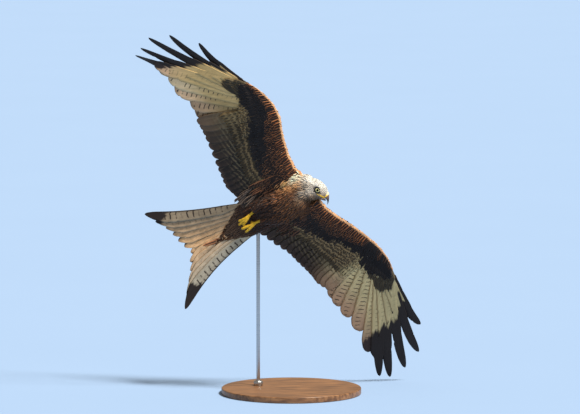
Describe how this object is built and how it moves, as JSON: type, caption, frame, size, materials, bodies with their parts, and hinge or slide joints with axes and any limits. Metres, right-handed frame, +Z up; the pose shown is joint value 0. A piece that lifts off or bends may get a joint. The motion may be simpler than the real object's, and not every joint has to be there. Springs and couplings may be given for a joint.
{
  "type": "red kite mount",
  "caption": "Museum model of a red kite in banking flight, wings and forked tail spread, held up by a slim rod on a flat round base.",
  "frame": {"origin": "middle of the underside of the stand's base", "axes": "+Z up; the picture was taken looking along +Y, so the bird's underside faces -Y and its head points to +X"},
  "size_m": [0.9226, 0.5352, 1.1632],
  "materials": {
    "body_plumage": "soft feathers, matt",
    "head_plumage": "short pale feathers, matt",
    "arm_plumage": "small covert feathers, matt",
    "flight_feathers": "stiff vanes, slight sheen",
    "tail_feathers": "stiff vanes, slight sheen",
    "eyes": "wet, glossy",
    "bare_legs": "scaly skin",
    "cere": "smooth waxy skin",
    "horn": "polished horn",
    "stand_wood": "satin, oiled",
    "stand_steel": "brushed"
  },
  "bodies": {
    "root": {"trunk": "body_plumage", "rump": "body_plumage", "neck": "body_plumage", "head": "head_plumage", "thigh_right": "body_plumage", "thigh_left": "body_plumage", "upper_arm_right": "arm_plumage", "forearm_right": "arm_plumage", "hand_right": "arm_plumage", "upper_arm_left": "arm_plumage", "forearm_left": "arm_plumage", "hand_left": "arm_plumage", "primaries_right": "flight_feathers", "secondaries_right": "flight_feathers", "tail_right": "tail_feathers", "eye_right": "eyes", "shank_right": "bare_legs", "foot_right": "bare_legs", "claw_right_1": "horn", "claw_right_2": "horn", "claw_right_3": "horn", "claw_right_4": "horn", "primaries_left": "flight_feathers", "secondaries_left": "flight_feathers", "tail_left": "tail_feathers", "eye_left": "eyes", "shank_left": "bare_legs", "foot_left": "bare_legs", "claw_left_1": "horn", "claw_left_2": "horn", "claw_left_3": "horn", "claw_left_4": "horn", "cere": "cere", "bill_upper": "horn", "bill_lower": "horn", "stand_base": "stand_wood", "stand_rod": "stand_steel", "stand_collar": "stand_steel"}
  },
  "joints": []
}
